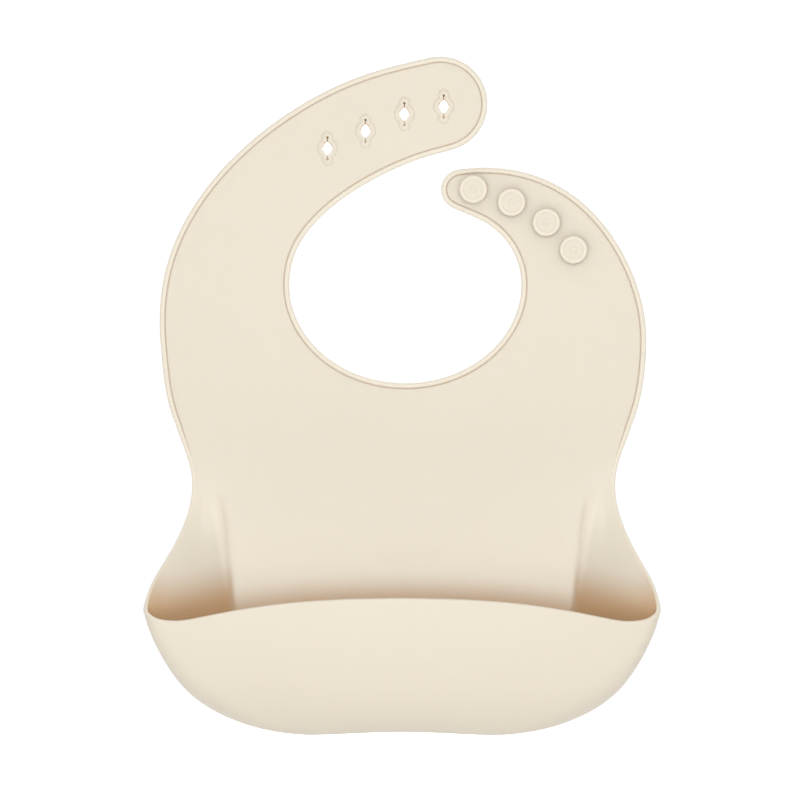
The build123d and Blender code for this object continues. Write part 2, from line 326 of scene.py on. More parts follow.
def tangents(path, closed=False):
    """Unit direction of a path at each of its points."""
    if closed:
        steps = np.roll(path, -1, axis=0) - np.roll(path, 1, axis=0)
    else:
        steps = np.gradient(path, axis=0)
    return steps / np.linalg.norm(steps, axis=1)[:, None]


# --- flat panel -------------------------------------------------------------------------
def panel_outline():
    """True edge of the panel, clockwise from the left waist to the right waist."""
    up, down = heading(90), heading(270)
    lower = [*SIDE_EDGE, *WAIST_EDGE]
    hole_end = arc(HOLE_TIP, HOLE_TIP_RADIUS, *HOLE_TIP_ARC)
    into_hole_end, from_hole_end = (heading(angle - 90) for angle in HOLE_TIP_ARC)
    button_end = arc(BUTTON_TIP, BUTTON_TIP_RADIUS, *BUTTON_TIP_ARC)
    into_button_end, from_button_end = (heading(angle - 90) for angle in BUTTON_TIP_ARC)
    neck_left = (NECK_X - NECK_HALF_WIDTH, 0.0)
    neck_right = (NECK_X + NECK_HALF_WIDTH, 0.0)
    neck = [(NECK_X + NECK_HALF_WIDTH * along[0], NECK_DEPTH * along[1])
            for along in map(heading, np.arange(180, 361, 2))]
    parts = [
        smooth_through([*mirrored(lower), *HOLE_SIDE_EDGE, hole_end[0]], up, into_hole_end),
        hole_end,
        smooth_through([hole_end[-1], *reversed(HOLE_SIDE_NECK), neck_left], from_hole_end, down),
        np.array(neck),
        smooth_through([neck_right, *BUTTON_SIDE_NECK, button_end[0]], up, into_button_end),
        button_end,
        smooth_through([*lower, *BUTTON_SIDE_EDGE, button_end[-1]], up, -from_button_end)[::-1],
    ]
    return np.vstack([parts[0]] + [part[1:] for part in parts[1:]])


def inset_outline(outline):
    """Inner border of the rim band, from the join on the left to the join on the right."""
    fine = resampled(outline, 4 * (len(outline) // 2))
    along = tangents(fine)
    inner = fine + RIM_BAND * np.column_stack([along[:, 1], -along[:, 0]])
    above = np.nonzero(inner[:, 1] > JOIN_Z)[0]
    inner = inner[above[0] - 1:above[-1] + 2]
    for end, beside in ((0, 1), (-1, -2)):
        share = (JOIN_Z - inner[end, 1]) / (inner[beside, 1] - inner[end, 1])
        inner[end] += share * (inner[beside] - inner[end])
    length = np.linalg.norm(np.diff(inner, axis=0), axis=1).sum()
    return resampled(inner, 1 + round(length / OUTLINE_STEP))


def hole_outline(margin=0.0, count=56):
    """Edge of a button hole, a rounded diamond, or of the border ring round it."""
    points = []
    for along in map(heading, np.arange(count) * 360.0 / count):
        reach = np.copysign(np.abs(along) ** (2 / HOLE_POWER), along)
        size = (HOLE_HALF_WIDTH + margin, HOLE_HALF_HEIGHT + HOLE_BORDER_STRETCH * margin)
        points.append(reach * size)
    return np.array(points)


def slit_outline(side, spread):
    """Narrow strip from the opening to a relief dot, above (1) or below (-1)."""
    half = SLIT_HALF_WIDTH * spread
    low, high = HOLE_HALF_HEIGHT - SLIT_ROOT, RELIEF_OFFSET
    corners = [(-half, side * low), (half, side * low), (half, side * high), (-half, side * high)]
    return np.array(corners)


def boss_outline(offset, count=72):
    """Outline of the pad round a button hole, moved inwards by an offset."""
    points = []
    for angle in np.linspace(0, 360, count, endpoint=False):
        along = heading(angle)
        reach = BOSS_RADIUS - offset
        lobe = BOSS_LOBE_RADIUS - offset
        across = BOSS_LOBE_OFFSET * abs(along[0])
        if across < lobe:
            reach = max(reach, BOSS_LOBE_OFFSET * abs(along[1]) + math.sqrt(lobe**2 - across**2))
        points.append(reach * along)
    return np.array(points)


def circle(radius, count=48):
    return np.array([radius * heading(k * 360 / count) for k in range(count)])


def feature_loops():
    """Outlines that the panel's mesh follows at its holes and studs, and whether each is open."""
    for centre in HOLE_CENTRES:
        yield hole_outline() + centre, True
        for margin in HOLE_BORDERS:
            yield hole_outline(margin) + centre, False
        for side in (-1, 1):
            for share in SCORE_WALL:
                yield slit_outline(side, share) + centre, False
            for share in DOT_WALL:
                dot = circle(share * RELIEF_RADIUS, 16) + (0, side * RELIEF_OFFSET)
                yield dot + centre, False
        for offset, _ in BOSS_SECTION:
            yield boss_outline(offset) + centre, False
    for centre in BUTTON_CENTRES:
        yield circle(STEM_RADIUS) + centre, True
        for gaps in FLANGE_STEPS:
            yield circle(FLANGE_RADIUS + gaps * FLANGE_GAP) + centre, False


def inside(points, polygon):
    """Whether each point lies inside a closed polygon."""
    x, z = points[:, 0][:, None], points[:, 1][:, None]
    x1, z1 = polygon[:, 0], polygon[:, 1]
    x2, z2 = np.roll(x1, -1), np.roll(z1, -1)
    crosses = (z1 > z) != (z2 > z)
    with np.errstate(divide="ignore", invalid="ignore"):
        at = x1 + (z - z1) * (x2 - x1) / (z2 - z1)
    return (np.sum(crosses & (x < at), axis=1) % 2) == 1


def seam(border, degrees):
    """The two border points nearest to a ray from the neck's centre: neck side, outer side."""
    centre = np.array([NECK_X, 0.0])
    along = heading(degrees)
    offset = border - centre
    distance = offset @ along
    across = np.abs(offset[:, 0] * along[1] - offset[:, 1] * along[0])
    near = (distance > SEAM_REACH[0]) & (distance < SEAM_REACH[1]) & (across < 2 * OUTLINE_STEP)
    middle = distance[near].mean()
    ends = []
    for side in (distance < middle, distance >= middle):
        candidates = np.nonzero(near & side)[0]
        ends.append(int(candidates[np.argmin(across[candidates])]))
    return ends


def beyond(point, border, ends):
    """Whether a point is on the left of the seam, looking outwards from the neck."""
    first, last = border[ends[0]], border[ends[1]]
    run, offset = last - first, point - first
    return run[0] * offset[1] - run[1] * offset[0] > 0


def grid_points(loop, drawn):
    """Even grid inside the loop, clear of the drawn outlines and of the holes and studs."""
    low, high = loop.min(0), loop.max(0)
    grid = np.array([(x, z) for x in np.arange(low[0], high[0], GRID_STEP)
                     for z in np.arange(low[1], high[1], GRID_STEP)])
    grid = grid[inside(grid, loop)]
    clear = np.linalg.norm(grid[:, None] - drawn[None], axis=2).min(1) > GRID_CLEARANCE
    pads = [(centre, BOSS_LOBE_OFFSET + BOSS_LOBE_RADIUS) for centre in HOLE_CENTRES]
    flanges = [(centre, FLANGE_RADIUS) for centre in BUTTON_CENTRES]
    for centre, radius in pads + flanges:
        clear &= np.linalg.norm(grid - centre, axis=1) > radius + FEATURE_CLEARANCE
    return grid[clear]


def panel_label(point, border, shoulder_seam, curl_seam, button_seam):
    """Piece that a point of the flat panel belongs to."""
    x, z = point
    if x >= 0 and z <= STRAPS_APART_Z:
        return BUTTON_STRAP if beyond(point, border, button_seam) else CHEST
    if beyond(point, border, shoulder_seam):
        return CHEST
    return SHOULDER if beyond(point, border, curl_seam) else HOLE_STRAP


def panel_mesh(join):
    """Triangles of the flat panel.  join holds the grid's top row, left to right, as x."""
    border = inset_outline(panel_outline())
    bottom = np.column_stack([join, np.full(len(join), JOIN_Z)])
    border[0], border[-1] = bottom[0], bottom[-1]
    loop = np.vstack([border, bottom[-2:0:-1]])
    points, voids = list(loop), []
    edges = [(k, (k + 1) % len(loop)) for k in range(len(loop))]
    for outline, is_open in feature_loops():
        first = len(points)
        points.extend(outline)
        edges.extend((first + k, first + (k + 1) % len(outline)) for k in range(len(outline)))
        if is_open:
            voids.append(outline)
    seams = [seam(border, degrees) for degrees in (SHOULDER_SEAM, CURL_SEAM, BUTTON_SEAM)]
    for ends in seams:
        chain = [ends[0], *range(len(points), len(points) + SEAM_POINTS), ends[1]]
        points.extend(resampled(border[ends], len(chain))[1:-1])
        edges += list(zip(chain, chain[1:]))

    points = np.vstack([points, grid_points(loop, np.array(points))])
    made = delaunay_2d_cdt([Vector(p) for p in points], edges, [], 0, 1e-5, True)
    places, _, triangles, sources_of = made[:4]
    flat = np.array([(v.x, v.y) for v in places])
    middles = np.array([np.mean(flat[list(face)], axis=0) for face in triangles])
    keep = inside(middles, loop)
    for outline in voids:
        keep &= ~inside(middles, outline)
    faces = [list(face) for face, kept in zip(triangles, keep) if kept]
    labels = [panel_label(middle, border, *seams) for middle in middles[keep]]
    top_row = {0: 0, len(border) - 1: len(join) - 1}
    for k in range(len(border), len(loop)):
        top_row[k] = len(join) - 2 - (k - len(border))
    shared = {index: top_row[source] for index, sources in enumerate(sources_of)
              for source in sources if source in top_row}
    return flat, faces, labels, shared


def panel_heights(flat):
    """Front and back distance of the panel's points from the middle, and how much painted shade they
    get in the scored marks and on the border above each opening.
    """
    front = np.full(len(flat), HALF_SHEET)
    back = np.full(len(flat), HALF_SHEET)
    painted_shade = np.zeros(len(flat))
    offsets, raises = zip(*BOSS_SECTION)
    for x, z in HOLE_CENTRES:
        discs = [(z, BOSS_RADIUS), (z + BOSS_LOBE_OFFSET, BOSS_LOBE_RADIUS),
                 (z - BOSS_LOBE_OFFSET, BOSS_LOBE_RADIUS)]
        depth = np.max([radius - np.hypot(flat[:, 0] - x, flat[:, 1] - middle)
                        for middle, radius in discs], axis=0)
        front += np.interp(depth, offsets, raises)
        across, up = np.abs(flat[:, 0] - x), flat[:, 1] - z
        for side in (-1, 1):
            slit = np.interp(across / SLIT_HALF_WIDTH, SCORE_WALL, (1.0, 0.0))
            slit *= (side * up < RELIEF_OFFSET) & (side * up > HOLE_HALF_HEIGHT - SLIT_ROOT)
            from_dot = np.hypot(across, up - side * RELIEF_OFFSET)
            dot = np.interp(from_dot / RELIEF_RADIUS, DOT_WALL, (1.0, 0.0))
            scored = np.maximum(slit, dot)
            # The scored line and dot are cut in and also get painted shade.
            front -= SCORE_DEPTHS[side] * scored
            painted_shade = np.maximum(painted_shade, SCORE_SHADES[side] * scored)
        opening = (across / HOLE_HALF_WIDTH) ** HOLE_POWER
        opening += (np.abs(up) / HOLE_HALF_HEIGHT) ** HOLE_POWER
        # Painted shade on the opening's border above its middle, where its wall would be in shadow.
        on_border = (opening < HOLE_BORDER_REACH) & (up > HOLE_BORDER_RISE)
        painted_shade = np.maximum(painted_shade, HOLE_BORDER_SHADE * on_border)
    for x, z in BUTTON_CENTRES:
        distance = np.hypot(flat[:, 0] - x, flat[:, 1] - z)
        back -= FLANGE_THICKNESS * (distance < FLANGE_RADIUS + 0.5 * FLANGE_GAP)
    return front, back, painted_shade


# --- pocket -----------------------------------------------------------------------------
def side_edge_at(z, edge):
    """True edge of the sheet below the join, on the middle surface."""
    x = np.interp(z, edge[:, 1], edge[:, 0])
    depth = flare(z)
    crease = crease_at(z)
    turn = math.atan2(depth, x - crease)
    return np.array([x - HALF_SHEET * math.sin(turn), -depth - HALF_SHEET * math.cos(turn), z])


def flare(z):
    """How far forward of the flat back the side's edge stands at a height."""
    return FLARE_DEPTH * (max(0.0, FLARE_TOP - z) / (FLARE_TOP - FLARE_BOTTOM)) ** 2


def crease_at(z):
    """Half width between the two creases at a height."""
    return CREASE_TOP + (z - CREASE_TOP_Z) * CREASE_SLOPE


def band_width(z):
    """Width of the rim band at a height."""
    return RIM_BAND + (LIP_BAND - RIM_BAND) * fade(z, *BEAD_FADE)


def back_columns(crease, depth):
    """Flat back from the middle to just short of the crease."""
    places = [share * crease for share in BACK_SHARES] + [crease - CREASE_MARGIN]
    return [np.array([x, -depth]) for x in places]


def side_columns(crease, depth, end, ridge):
    """From the crease to the last point of the side, with the ridge beside the crease."""
    start = np.array([crease, -depth])
    run = np.array(end) - start
    length = np.linalg.norm(run)
    along = run / length
    forward = np.array([along[1], -along[0]])
    points = []
    for (distance, height), share in zip(RIDGE, RIDGE_LIMITS):
        distance = min(distance, share * length)
        points.append(start + along * distance + forward * height * ridge)
    first = np.linalg.norm(points[-1] - start)
    for share in SIDE_SHARES:
        points.append(start + along * (first + share * (length - first)))
    return points + [np.array(end)]


def open_row(z, edge, top_half_width):
    """Half a row above the pocket's mouth, from the middle of the back to the edge."""
    if z == JOIN_Z:
        end = np.array([top_half_width, -HALF_SHEET, z])
    else:
        on_edge = side_edge_at(z, edge)
        along_edge = side_edge_at(z - EDGE_PROBE, edge) - side_edge_at(z + EDGE_PROBE, edge)
        along_edge /= np.linalg.norm(along_edge)
        across = on_edge - (crease_at(z), -HALF_SHEET, z)
        across -= along_edge * (across @ along_edge)
        end = on_edge - band_width(z) * across / np.linalg.norm(across)
    crease = min(crease_at(z), end[0] - LEAST_SIDE)
    ridge = fade(z, *RIDGE_FADE)
    flat = back_columns(crease, HALF_SHEET) + side_columns(crease, HALF_SHEET, end[:2], ridge)
    drop = end[2] - z
    shares = np.clip((np.array([p[0] for p in flat]) - crease) / (end[0] - crease), 0, 1)
    return [np.array([x, y, z + drop * share**2]) for (x, y), share in zip(flat, shares)]


def bowl_shape(z):
    """The bowl's sizes at a height, between its rows."""
    table = np.array(BOWL_ROWS)[::-1]
    return [np.interp(z, table[:, 0], column) for column in table[:, 1:].T]


def bowl_half(z):
    """Half of the bowl's section at a height, from the middle of the back to the front's."""
    crease, widest, back, corner, front, radius = bowl_shape(z)
    centre = np.array([widest - radius, radius - corner])
    turn = math.atan2(corner, widest - crease)
    for _ in range(4):
        touch = centre + radius * np.array([math.sin(turn), math.cos(turn)])
        turn = math.atan2(-(touch[1] + back), touch[0] - crease)
    ridge = 1 - fade(z, *RIDGE_END)
    points = back_columns(crease, back) + side_columns(crease, back, touch, ridge)
    angles = np.linspace(90 - math.degrees(turn), CORNER_END, FRONT_COLUMN - EDGE_COLUMN + 1)[1:]
    points += [centre + radius * heading(angle) for angle in angles]
    start = points[-1]
    for share in np.linspace(1, 0, LAST_COLUMN - FRONT_COLUMN + 1)[1:]:
        points.append(np.array([start[0] * share, -front + (start[1] + front) * share**2]))
    points = np.array(points)
    even = fade(z, *EVEN_FADE)
    if even > 0:
        halves = [resampled(points[:APEX_COLUMN + 1], APEX_COLUMN + 1),
                  resampled(points[APEX_COLUMN:], LAST_COLUMN - APEX_COLUMN + 1)[1:]]
        points += even * (np.vstack(halves) - points)
    return points


def closed_row(row):
    """Half a row of the bowl.  Its front part follows the lip near the mouth."""
    z = BOWL_ROWS[row][0]
    mouth = BOWL_ROWS[0][0]
    section = bowl_half(z)
    lip_x, lip_z = zip(*LIP)
    follow = max(0.0, 1.0 - LIP_FOLLOW_STEP * row)
    points = []
    for column in range(LAST_COLUMN + 1):
        x = section[column][0]
        lip = np.interp(abs(x), lip_x, lip_z) - LIP_BAND
        if column < FRONT_COLUMN:
            along = max(0, column - EDGE_COLUMN) / (FRONT_COLUMN - EDGE_COLUMN)
            lip = mouth + (lip - mouth) * along
        here = z + follow * (lip - mouth)
        place = bowl_half(here)[column] if follow else section[column]
        low = fade(z, *FLOOR_WAVE_FADE) * max(0.0, 1 - (x / FLOOR_WAVE_HALF_WIDTH) ** 2) ** 2
        points.append(np.array([*place, here + FLOOR_WAVE * low]))
    return points


def pocket_cage():
    """Coarse cage of the pocket and of the panel below the join, with a label per face."""
    outline = panel_outline()
    least_x, most_z = SIDE_EDGE_START
    right = outline[outline[:, 0] > least_x]
    edge = right[np.argsort(right[:, 1])]
    edge = edge[edge[:, 1] < most_z]
    top_half_width = inset_outline(outline)[-1][0]
    rows = [open_row(z, edge, top_half_width) for z in OPEN_ROWS]
    rows += [closed_row(row) for row in range(len(BOWL_ROWS))]
    points, index = [], {}
    for i, row in enumerate(rows):
        for j in range(-len(row) + 1, len(row)):
            if (i, j) not in index:
                index[i, j] = len(points)
                x, y, z = row[abs(j)]
                points.append((math.copysign(x, j) if x else 0.0, y, z))
            if j == -LAST_COLUMN:
                index[i, LAST_COLUMN] = index[i, j]
    faces, labels = [], []
    for i in range(len(rows) - 1):
        last = min(len(rows[i]), len(rows[i + 1])) - 1
        for j in range(-last, last):
            faces.append((index[i, j], index[i + 1, j], index[i + 1, j + 1], index[i, j + 1]))
            labels.append(CHEST if OPEN_ROWS[min(i, len(OPEN_ROWS) - 1)] > WAIST_SEAM_Z else POCKET)
    low = len(rows) - 1
    for j in range(-APEX_COLUMN, APEX_COLUMN):
        front = [index[low, int(math.copysign(LAST_COLUMN - abs(k), k if k else j + 0.5))]
                 for k in (j, j + 1)]
        corners = [index[low, j], front[0], front[1], index[low, j + 1]]
        faces.append(tuple(dict.fromkeys(corners)))
        labels.append(POCKET)
    return points, faces, labels


def smoothed(points, faces, labels):
    """The cage after two levels of subdivision, as arrays."""
    mesh = bpy.data.meshes.new("cage")
    mesh.from_pydata(points, [], faces)
    for polygon, label in zip(mesh.polygons, labels):
        polygon.material_index = label
    cage = bpy.data.objects.new("cage", mesh)
    for _ in PIECES:
        mesh.materials.append(None)
    bpy.context.scene.collection.objects.link(cage)
    subdivide = cage.modifiers.new("subdivide", "SUBSURF")
    subdivide.levels = 2
    subdivide.boundary_smooth = "PRESERVE_CORNERS"
    fine = cage.evaluated_get(bpy.context.evaluated_depsgraph_get()).to_mesh()
    places = np.array([v.co for v in fine.vertices])
    polygons = [list(p.vertices) for p in fine.polygons]
    fine_labels = [p.material_index for p in fine.polygons]
    bpy.data.objects.remove(cage)
    bpy.data.meshes.remove(mesh)
    return places, polygons, fine_labels


def from_crease(points):
    """Distance of each point from the crease on its side."""
    return np.hypot(np.abs(points[:, 0]) - crease_at(points[:, 2]), points[:, 1] + HALF_SHEET)


def above_lip(points):
    """Height of each point above the front wall's lip, straight in front of it."""
    lip_x, lip_z = zip(*LIP)
    return points[:, 2] - np.interp(np.abs(points[:, 0]), lip_x, lip_z)


def pocket_glow(points):
    """How much paler each point of the pocket's inner face is, 0 to 1, from painted light on the back,
    the sides, the ridge beside the crease and down inside.
    """
    x, z, reach = np.abs(points[:, 0]), points[:, 2], from_crease(points)
    start, full = BACK_GLOW_HEIGHTS
    back = BACK_GLOW * np.clip((z - start) / (full - start), 0, 1) ** 2
    ridge = fade(reach, *RIDGE_GLOW_REACH[:2]) * (1 - fade(reach, *RIDGE_GLOW_REACH[2:]))
    side = np.maximum(SIDE_GLOW, RIDGE_GLOW * ridge)
    glow = back + (side - back) * (x > crease_at(z)) * fade(z, *CREASE_HEIGHTS)
    return glow + (1 - glow) * fade(above_lip(points), *INSIDE_GLOW_RISES)


def pocket_shade(points):
    """How deep in the pocket's warm shade each point of the inner face lies, 0 to 1."""
    x, z, rise = np.abs(points[:, 0]), points[:, 2], above_lip(points)
    back = BACK_SHADE * fade(rise, *BACK_SHADE_RISES)
    side = SIDE_SHADE * fade(rise, *SIDE_SHADE_RISES)
    shade = back + (side - back) * fade(x, *SIDE_START)
    shade += (DEEP_SHADE - shade) * fade(rise, *DEEP_RISES)
    line = np.clip(1 - from_crease(points) / CREASE_SHADE_WIDTH, 0, 1) * fade(z, *CREASE_HEIGHTS)
    return np.maximum(shade, CREASE_SHADE * line)


# --- whole moulding ---------------------------------------------------------------------
class Moulding:
    """Middle surface of the sheet: points, normals, heights of both faces, labelled faces."""

    def __init__(self):
        places, polygons, labels = smoothed(*pocket_cage())
        top = np.nonzero(np.abs(places[:, 2] - JOIN_Z) < 0.01)[0]
        top = top[np.argsort(places[top, 0])]
        flat, triangles, panel_labels, shared = panel_mesh(places[top, 0])
        number = {}
        extra = []
        for k, (x, z) in enumerate(flat):
            if k in shared:
                number[k] = int(top[shared[k]])
            else:
                number[k] = len(places) + len(extra)
                extra.append((x, -HALF_SHEET, z))
        self.points = np.vstack([places, extra])
        self.faces = polygons + [[number[k] for k in triangle] for triangle in triangles]
        self.labels = labels + panel_labels
        self.front = np.full(len(self.points), HALF_SHEET)
        self.back = np.full(len(self.points), HALF_SHEET)
        # Painted light (pale) and painted shade (deep) of each point.
        self.pale = pocket_glow(self.points)
        self.deep = pocket_shade(self.points)
        front, back, painted_shade = panel_heights(flat)
        for k, index in number.items():
            self.front[index], self.back[index] = front[k], back[k]
            self.deep[index] = max(self.deep[index], painted_shade[k])
        self.normals = self.vertex_normals()
        self.add_rim()

    def vertex_normals(self):
        """Normals from the areas of the faces round each point."""
        normals = np.zeros_like(self.points)
        for face in self.faces:
            corners = self.points[face]
            area = np.zeros(3)
            for k in range(1, len(face) - 1):
                area += np.cross(corners[k] - corners[0], corners[k + 1] - corners[0])
            normals[face] += area
        lengths = np.linalg.norm(normals, axis=1)
        return normals / np.maximum(lengths, 1e-9)[:, None]

    def border(self):
        """Longest open loop of the surface, with the surface on its left, and its faces' labels."""
        following, label_of = {}, {}
        edges = set()
        for face in self.faces:
            edges.update(zip(face, face[1:] + face[:1]))
        for face, label in zip(self.faces, self.labels):
            for a, b in zip(face, face[1:] + face[:1]):
                if (b, a) not in edges:
                    following[a], label_of[a] = b, label
        loops, seen = [], set()
        for start in following:
            if start not in seen:
                loop = []
                while start not in seen:
                    seen.add(start)
                    loop.append(start)
                    start = following[start]
                loops.append(loop)
        longest = max(loops, key=len)
        return longest, [label_of[k] for k in longest]

    def add_rim(self):
        """Carry the surface outwards by the rim band, with the section of its edge.  At the
        edge itself the two faces meet."""
        loop, labels = self.border()
        places, normals = self.points[loop], self.normals[loop]
        outward = np.cross(tangents(places, closed=True), normals)
        outward /= np.linalg.norm(outward, axis=1)[:, None]
        width = band_width(places[:, 2])
        bead = 1 - fade(places[:, 2], *BEAD_FADE)
        inner = list(loop)
        for distance, plain, extra, depth in reversed(RIM_SECTION):
            share = (RIM_BAND - distance) / RIM_BAND
            in_front = plain + extra * bead
            behind = np.full(len(loop), depth) if distance > 0 else -in_front
            first = len(self.points)
            ring = places + outward * (share * width)[:, None]
            self.points = np.vstack([self.points, ring])
            self.normals = np.vstack([self.normals, normals])
            self.front = np.concatenate([self.front, in_front])
            self.back = np.concatenate([self.back, behind])
            # The bead gets a painted highlight and its groove a painted shade; the lip carries on the
            # pocket's painted light and shade.
            on_bead = BEAD_GLOW if distance < BEAD_WIDTH else 0.0
            in_groove = GROOVE_SHADE if extra < GROOVE_LEVEL else 0.0
            on_lip = fade(distance, *LIP_SHADE_FADE)
            pale = np.maximum(on_bead, on_lip * self.pale[loop])
            deep = np.maximum(in_groove * bead, on_lip * self.deep[loop])
            self.pale = np.concatenate([self.pale, pale])
            self.deep = np.concatenate([self.deep, deep])
            outer = list(range(first, first + len(loop)))
            for k in range(len(loop)):
                n = (k + 1) % len(loop)
                self.faces.append([inner[n], inner[k], outer[k], outer[n]])
                self.labels.append(labels[k])
            inner = outer

    def piece(self, label):
        """Closed solid of one label's part of the sheet: points in metres, faces, and how much painted
        light (pale) and painted shade (deep) each point has.  The outer face has neither tone."""
        faces = [face for face, own in zip(self.faces, self.labels) if own == label]
        used = sorted({k for face in faces for k in face})
        points, tones, front_of, back_of = [], [], {}, {}
        for k in used:
            front_of[k] = back_of[k] = len(points)
            points.append(self.points[k] + self.normals[k] * self.front[k])
            tones.append((self.pale[k], self.deep[k]))
            if self.front[k] + self.back[k] > 1e-6:
                back_of[k] = len(points)
                points.append(self.points[k] - self.normals[k] * self.back[k])
                tones.append((0.0, 0.0))
        solid = [[front_of[k] for k in face] for face in faces]
        solid += [[back_of[k] for k in reversed(face)] for face in faces]
        edges = {pair for face in faces for pair in zip(face, face[1:] + face[:1])}
        for a, b in sorted(edges):
            if (b, a) not in edges:
                wall = list(dict.fromkeys([front_of[b], front_of[a], back_of[a], back_of[b]]))
                if len(wall) > 2:
                    solid.append(wall)
        return np.array(points) * MM, solid, tones


def make_piece(name, points, faces, tones, material):
    """A smooth-shaded mesh object, in metres, with crisp edges kept crisp."""
    mesh = bpy.data.meshes.new(name)
    mesh.from_pydata([tuple(p) for p in points], [], faces)
    mesh.validate()
    mesh.shade_smooth()
    mesh.set_sharp_from_angle(angle=math.radians(CRISP_ANGLE))
    # Layers of painted light (pale) and painted shade (deep).
    for layer, values in zip(("pale", "deep"), np.array(tones, np.float32).T):
        mesh.attributes.new(layer, "FLOAT", "POINT").data.foreach_set("value", values.copy())
    mesh.materials.append(material)
    piece = bpy.data.objects.new(name, mesh)
    bpy.context.scene.collection.objects.link(piece)
    return piece


# --- buttons ----------------------------------------------------------------------------
BUTTON_STEPS = 96
BUTTON_RIM_RADIUS = 4.7      # outside this radius the head gets the bead's painted highlight
# Half section of a button, as (radius, distance in front of the sheet's back face).
BUTTON_SECTION = [
    (0.0, 0.06), (2.2, 0.06), (2.35, 0.02), (4.1, 0.02), (4.32, 0.12), (4.36, 0.30), (4.36, 0.74),
    (4.2, 0.80), (2.36, 0.80), (2.36, 1.98), (3.1, 2.04), (2.62, 2.35), (2.44, 2.9), (2.4, 3.9),
    (2.6, 4.45), (3.3, 4.6), (5.6, 4.62), (6.0, 4.72), (6.2, 4.98), (6.25, 5.35), (6.22, 5.8),
    (6.08, 6.15), (5.82, 6.38), (5.5, 6.48), (4.95, 6.5), (4.75, 6.47), (4.6, 6.4), (4.45, 6.34),
    (4.25, 6.35), (4.05, 6.40), (3.6, 6.41), (1.9, 6.41), (1.65, 6.38), (1.5, 6.30), (1.3, 6.26),
    (0.7, 6.22), (0.0, 6.21),
]


def button(number, centre, material):
    """Turned solid: flange behind the strap, stem, and a head with a ring and a dimple."""
    x, z = centre
    inner = BUTTON_SECTION[1:-1]
    points, faces, tones = [], [], []
    for radius, depth in inner:
        for turn in np.arange(BUTTON_STEPS) * 2 * math.pi / BUTTON_STEPS:
            points.append((x + radius * math.cos(turn), -depth, z + radius * math.sin(turn)))
            # The head's outer rim gets a painted highlight.
            tones.append((BEAD_GLOW if radius > BUTTON_RIM_RADIUS else 0.0, 0.0))
    back, tip = len(points), len(points) + 1
    for _, depth in (BUTTON_SECTION[0], BUTTON_SECTION[-1]):
        points.append((x, -depth, z))
        tones.append((0.0, 0.0))
    for ring in range(len(inner) - 1):
        for k in range(BUTTON_STEPS):
            n = (k + 1) % BUTTON_STEPS
            low, high = ring * BUTTON_STEPS, (ring + 1) * BUTTON_STEPS
            faces.append([low + k, low + n, high + n, high + k])
    last = (len(inner) - 1) * BUTTON_STEPS
    for k in range(BUTTON_STEPS):
        n = (k + 1) % BUTTON_STEPS
        faces.append([back, n, k])
        faces.append([tip, last + k, last + n])
    piece = make_piece(f"stud_{number}", np.array(points) * MM, faces, tones, material)
    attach(piece, "button_strap")
    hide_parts(f"button_stud_{number}")


# --- materials --------------------------------------------------------------------------
def silicone(name, colour, cloud, roughness):
    """Matte moulded silicone: slightly clouded cream with a fine grain, with painted light and painted
    shade from the mesh's own pale and deep layers."""
    material = bpy.data.materials.new(name)
    material.use_nodes = True
    nodes, links = material.node_tree.nodes, material.node_tree.links
    shader = nodes["Principled BSDF"]
    place = nodes.new("ShaderNodeTexCoord").outputs["Object"]

    def noise(scale, detail):
        node = nodes.new("ShaderNodeTexNoise")
        node.inputs["Scale"].default_value = scale
        node.inputs["Detail"].default_value = detail
        links.new(place, node.inputs["Vector"])
        return node.outputs["Fac"]

    def mixed(share, first, second):
        node = nodes.new("ShaderNodeMix")
        node.data_type = "RGBA"
        links.new(share, node.inputs["Factor"])
        for socket, value in ((node.inputs[6], first), (node.inputs[7], second)):
            if isinstance(value, tuple):
                socket.default_value = (*value, 1.0)
            else:
                links.new(value, socket)
        return node.outputs[2]

    def painted(layer):
        node = nodes.new("ShaderNodeAttribute")
        node.attribute_name = layer
        return node.outputs["Fac"]

    cloudy = mixed(noise(*CLOUD_NOISE), colour, cloud)
    # Painted light and painted shade from the mesh's layers are mixed into the cream.
    glowing = mixed(painted("pale"), cloudy, PALE)
    links.new(mixed(painted("deep"), glowing, DEEP), shader.inputs["Base Color"])

    rough = nodes.new("ShaderNodeMapRange")
    rough.inputs["To Min"].default_value = roughness + WEAR_RANGE[0]
    rough.inputs["To Max"].default_value = roughness + WEAR_RANGE[1]
    links.new(noise(*WEAR_NOISE), rough.inputs["Value"])
    links.new(rough.outputs["Result"], shader.inputs["Roughness"])

    grain = nodes.new("ShaderNodeBump")
    grain.inputs["Strength"].default_value = 0.25
    grain.inputs["Distance"].default_value = GRAIN_HEIGHT
    links.new(noise(*GRAIN_NOISE), grain.inputs["Height"])
    links.new(grain.outputs["Normal"], shader.inputs["Normal"])
    shader.inputs["IOR"].default_value = 1.41
    shader.inputs["Specular IOR Level"].default_value = 0.4
    shader.inputs["Subsurface Weight"].default_value = 0.12
    shader.inputs["Subsurface Radius"].default_value = (1.0, 0.62, 0.35)
    shader.inputs["Subsurface Scale"].default_value = 0.002
    return material


def paper(name, colour):
    """Pale studio floor with a very slight unevenness."""
    material = bpy.data.materials.new(name)
    material.use_nodes = True
    nodes, links = material.node_tree.nodes, material.node_tree.links
    shader = nodes["Principled BSDF"]
    shader.inputs["Base Color"].default_value = (*colour, 1.0)
    shader.inputs["Specular IOR Level"].default_value = 0.1
    texture = nodes.new("ShaderNodeTexNoise")
    texture.inputs["Scale"].default_value = 60.0
    rough = nodes.new("ShaderNodeMapRange")
    rough.inputs["To Min"].default_value = 0.75
    rough.inputs["To Max"].default_value = 0.9
    links.new(texture.outputs["Fac"], rough.inputs["Value"])
    links.new(rough.outputs["Result"], shader.inputs["Roughness"])
    return material


